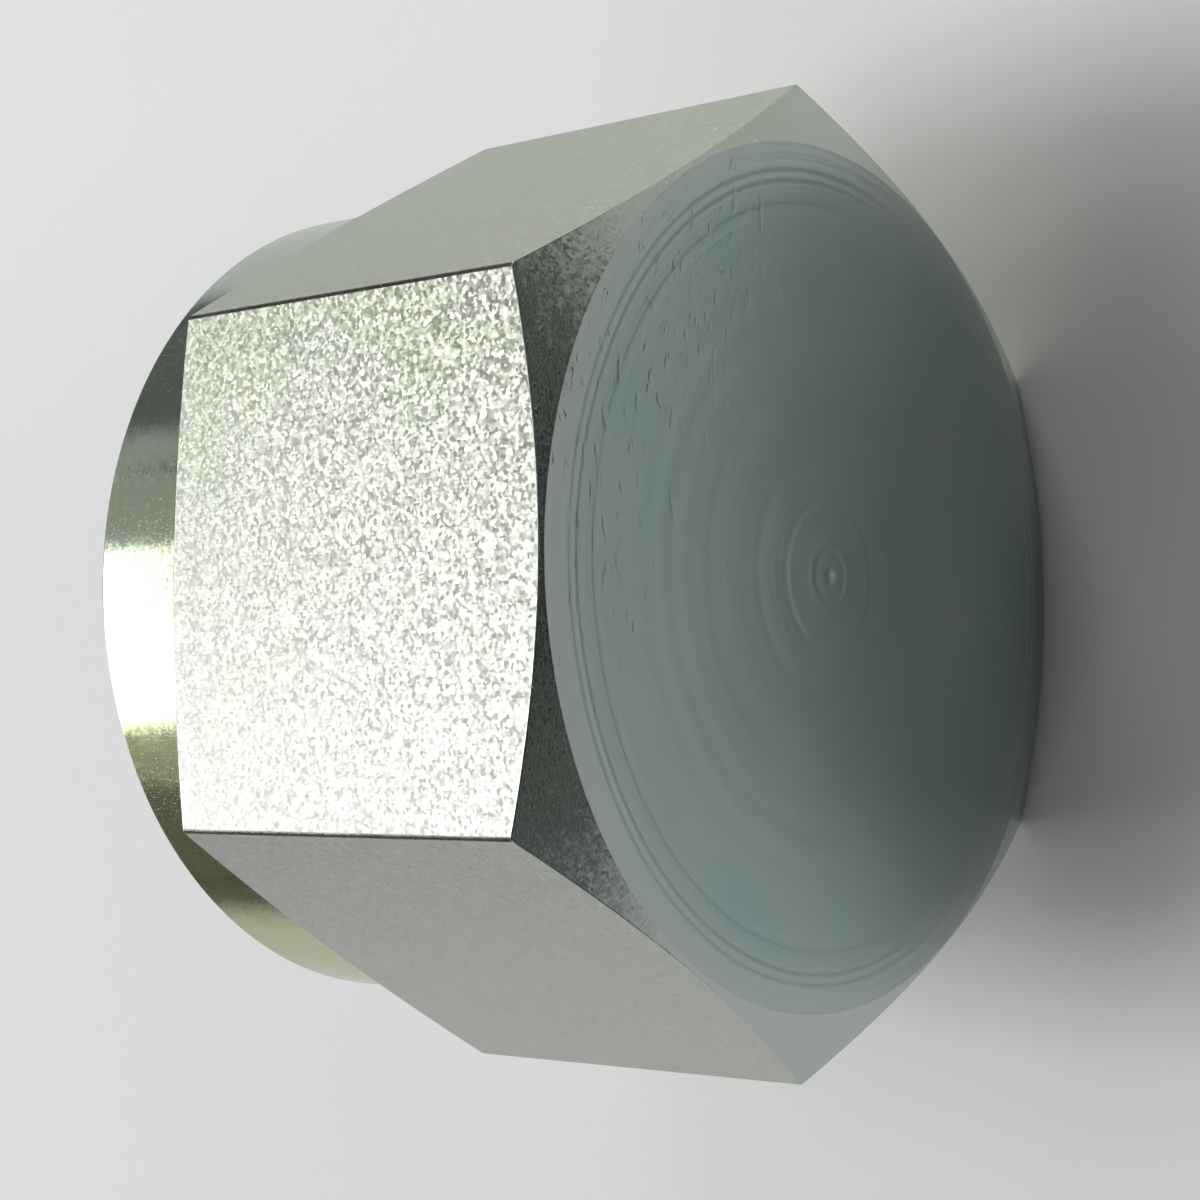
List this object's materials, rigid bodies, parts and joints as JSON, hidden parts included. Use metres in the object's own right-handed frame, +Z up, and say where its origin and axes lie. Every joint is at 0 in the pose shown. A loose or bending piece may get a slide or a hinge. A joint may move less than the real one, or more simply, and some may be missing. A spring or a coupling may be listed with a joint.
{
  "type": "hydraulic cap nut",
  "caption": "Hexagonal steel blanking cap for a hydraulic fitting, with a closed turned face, a plain collar and a female thread with a conical seat.",
  "frame": {"origin": "middle of the footprint, on the surface that the cap lies on", "axes": "+X along the cap's axis towards its closed end, -X out of the threaded mouth, +Z up through the flat opposite the one it lies on"},
  "size_m": [0.0226, 0.037, 0.032],
  "materials": {
    "zinc_plated_steel": "bright zinc plating with a clear passivation that shows a little yellow and green, over pickled flats and turned ends"
  },
  "bodies": {
    "root": {"cap": "zinc_plated_steel"}
  },
  "joints": []
}
